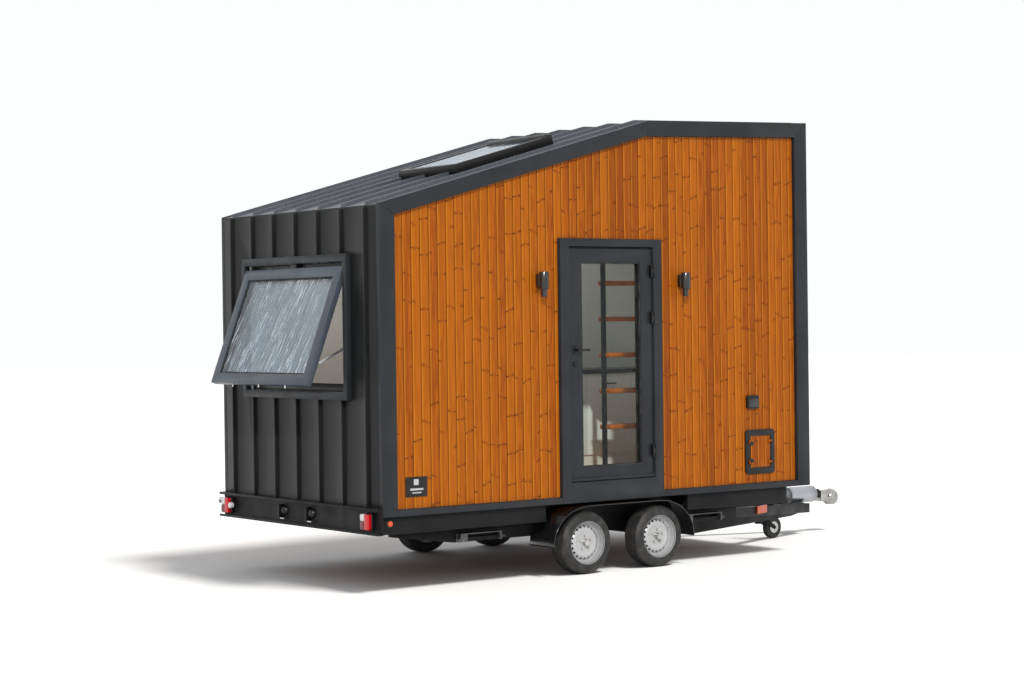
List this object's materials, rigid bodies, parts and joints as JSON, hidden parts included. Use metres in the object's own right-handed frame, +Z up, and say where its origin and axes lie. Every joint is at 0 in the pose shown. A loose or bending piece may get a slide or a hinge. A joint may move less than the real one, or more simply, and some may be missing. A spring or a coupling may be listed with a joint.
{
  "type": "tiny house on wheels",
  "caption": "Timber-clad tiny house with a sloping seamed metal roof on a twin-axle trailer: glazed door, propped rear window, skylight, service hatch, jockey wheel and corner steadies.",
  "frame": {"origin": "on the ground under the middle of the whole, on the trailer's centreline", "axes": "+X towards the tow coupling, -Y towards the door side, +Z up"},
  "size_m": [6.628, 2.6119, 3.906],
  "materials": {
    "interior_white": "painted",
    "stained_timber": "stained",
    "anthracite_metal": "satin",
    "black_steel": "satin",
    "floor_boards": "matt",
    "seam_metal": "matt",
    "clear_glass": "clear",
    "black_fittings": "gloss",
    "window_glass": "clear",
    "bright_stay": "brushed",
    "lamp_black": "gloss",
    "hatch_frame": "matt",
    "tread_timber": "oiled",
    "kitchen_white": "satin",
    "worktop_black": "satin",
    "cast_silver": "zinc plated",
    "black_rubber": "matt",
    "bright_coupling": "zinc plated",
    "axle_steel": "matt",
    "mudguard_black": "gloss",
    "galvanised": "galvanised",
    "red_lens": "gloss",
    "amber_lens": "gloss",
    "tyre": "matt",
    "rim_silver": "silver"
  },
  "bodies": {
    "house": {"amber_lamps": "amber_lens", "axles": "axle_steel", "coupling_head": "bright_coupling", "door_casing": "anthracite_metal", "door_wall_front": "interior_white", "door_wall_over": "interior_white", "door_wall_rear": "interior_white", "drawbar": "black_steel", "far_fascia": "anthracite_metal", "far_wall": "interior_white", "floor": "floor_boards", "floor_frame": "black_steel", "front_wall": "interior_white", "gaiter": "black_rubber", "hatch_frame": "hatch_frame", "inlet_cover": "lamp_black", "jockey_clamp": "black_steel", "kitchen_unit": "kitchen_white", "kitchen_worktop": "worktop_black", "ladder_treads": "tread_timber", "ladder_uprights": "black_steel", "mudguards": "mudguard_black", "near_fascia": "anthracite_metal", "overrun_housing": "cast_silver", "rear_channel": "black_steel", "rear_lamps": "red_lens", "rear_wall": "interior_white", "roof": "interior_white", "roof_metal_cladding": "seam_metal", "skylight_frame": "anthracite_metal", "skylight_glass": "window_glass", "steady_brackets": "galvanised", "timber_cladding": "stained_timber", "wall_lamps": "lamp_black", "wall_metal_cladding": "seam_metal", "window_casing": "anthracite_metal", "window_glass": "window_glass", "window_sash": "anthracite_metal", "window_stays": "bright_stay"},
    "door": {"door_leaf": "anthracite_metal", "door_glass": "clear_glass", "door_hinges_and_roses": "black_fittings"},
    "door_handle": {"door_lever": "black_fittings"},
    "service_hatch": {"hatch_door": "hatch_frame"},
    "jockey_tube": {"jockey_post": "black_steel"},
    "jockey_swivel": {"jockey_fork": "black_steel"},
    "jockey_roller": {"jockey_wheel": "black_rubber"},
    "near_rear_wheel": {"near_rear_tyre": "tyre", "near_rear_rim": "rim_silver"},
    "near_front_wheel": {"near_front_tyre": "tyre", "near_front_rim": "rim_silver"},
    "far_rear_wheel": {"far_rear_tyre": "tyre", "far_rear_rim": "rim_silver"},
    "far_front_wheel": {"far_front_tyre": "tyre", "far_front_rim": "rim_silver"},
    "rear_near_leg": {"rear_near_steady": "galvanised"},
    "rear_far_leg": {"rear_far_steady": "galvanised"},
    "front_near_leg": {"front_near_steady": "galvanised"},
    "front_far_leg": {"front_far_steady": "galvanised"}
  },
  "joints": [
    {"name": "door_swing", "type": "hinge", "parent": "house", "child": "door", "pos_m": [-0.12296, -1.262, 0.775], "axis": [0, 0, 1], "range_deg": [0, 110]},
    {"name": "door_lever_turn", "type": "hinge", "parent": "door", "child": "door_handle", "pos_m": [-0.97696, -1.201, 1.874], "axis": [0, 1, 0], "range_deg": [0, 40], "stiffness_Nm_per_rad": 1.2, "springref_deg": -34.38},
    {"name": "hatch_swing", "type": "hinge", "parent": "house", "child": "service_hatch", "pos_m": [1.25304, -1.24, 0.932], "axis": [0, 0, 1], "range_deg": [0, 120]},
    {"name": "jockey_lift", "type": "slide", "parent": "house", "child": "jockey_tube", "axis": [0, 0, 1], "range_m": [0, 0.15]},
    {"name": "jockey_swivel", "type": "hinge", "parent": "jockey_tube", "child": "jockey_swivel", "pos_m": [2.08304, -0.18, 0.1075], "axis": [0, 0, 1], "range_deg": [0, 180]},
    {"name": "jockey_roll", "type": "hinge", "parent": "jockey_swivel", "child": "jockey_roller", "pos_m": [2.26979, -0.17021, 0.1075], "axis": [-0.0523, 0.9986, 0], "continuous": true},
    {"name": "near_rear_wheel_roll", "type": "hinge", "parent": "house", "child": "near_rear_wheel", "pos_m": [-0.88996, -1.1725, 0.2625], "axis": [0, 1, 0], "continuous": true},
    {"name": "near_front_wheel_roll", "type": "hinge", "parent": "house", "child": "near_front_wheel", "pos_m": [-0.09696, -1.1725, 0.2625], "axis": [0, 1, 0], "continuous": true},
    {"name": "far_rear_wheel_roll", "type": "hinge", "parent": "house", "child": "far_rear_wheel", "pos_m": [-0.88996, 1.1725, 0.2625], "axis": [0, 1, 0], "continuous": true},
    {"name": "far_front_wheel_roll", "type": "hinge", "parent": "house", "child": "far_front_wheel", "pos_m": [-0.09696, 1.1725, 0.2625], "axis": [0, 1, 0], "continuous": true},
    {"name": "rear_near_steady_drop", "type": "hinge", "parent": "house", "child": "rear_near_leg", "pos_m": [-1.98996, -0.985, 0.352], "axis": [0, 1, 0], "range_deg": [0, 55]},
    {"name": "rear_far_steady_drop", "type": "hinge", "parent": "house", "child": "rear_far_leg", "pos_m": [-1.98996, 0.985, 0.352], "axis": [0, 1, 0], "range_deg": [0, 55]},
    {"name": "front_near_steady_drop", "type": "hinge", "parent": "house", "child": "front_near_leg", "pos_m": [0.46004, -0.985, 0.352], "axis": [0, 1, 0], "range_deg": [0, 55]},
    {"name": "front_far_steady_drop", "type": "hinge", "parent": "house", "child": "front_far_leg", "pos_m": [0.46004, 0.985, 0.352], "axis": [0, 1, 0], "range_deg": [0, 55]}
  ]
}
